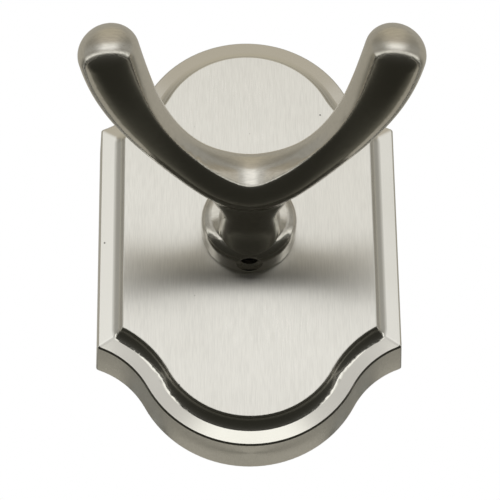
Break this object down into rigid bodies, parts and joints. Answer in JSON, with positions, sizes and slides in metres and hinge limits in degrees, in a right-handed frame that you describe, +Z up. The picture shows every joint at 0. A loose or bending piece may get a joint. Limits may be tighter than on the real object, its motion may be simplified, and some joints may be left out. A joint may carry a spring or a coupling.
{
  "type": "robe hook",
  "caption": "Wall-mounted double robe hook: two swept arms with bulbous ends on a round foot, over a tall moulded backplate with arched ends.",
  "frame": {"origin": "on the wall plane, on the axis of the foot and stud, midway between the two wall-screw holes", "axes": "+Z up, +Y into the wall, -Y out into the room, +X to the right seen from the room"},
  "size_m": [0.0682, 0.0699, 0.0966],
  "materials": {
    "satin_nickel_plate": "satin nickel, brushed upright",
    "satin_nickel_hook": "satin nickel",
    "screw_steel": "blackened steel",
    "zinc_steel": "zinc-plated steel",
    "stud_steel": "turned steel"
  },
  "bodies": {
    "root": {"backplate": "satin_nickel_plate", "hook": "satin_nickel_hook", "set_screw": "screw_steel", "mounting_plate": "zinc_steel", "mounting_stud": "stud_steel"}
  },
  "joints": []
}
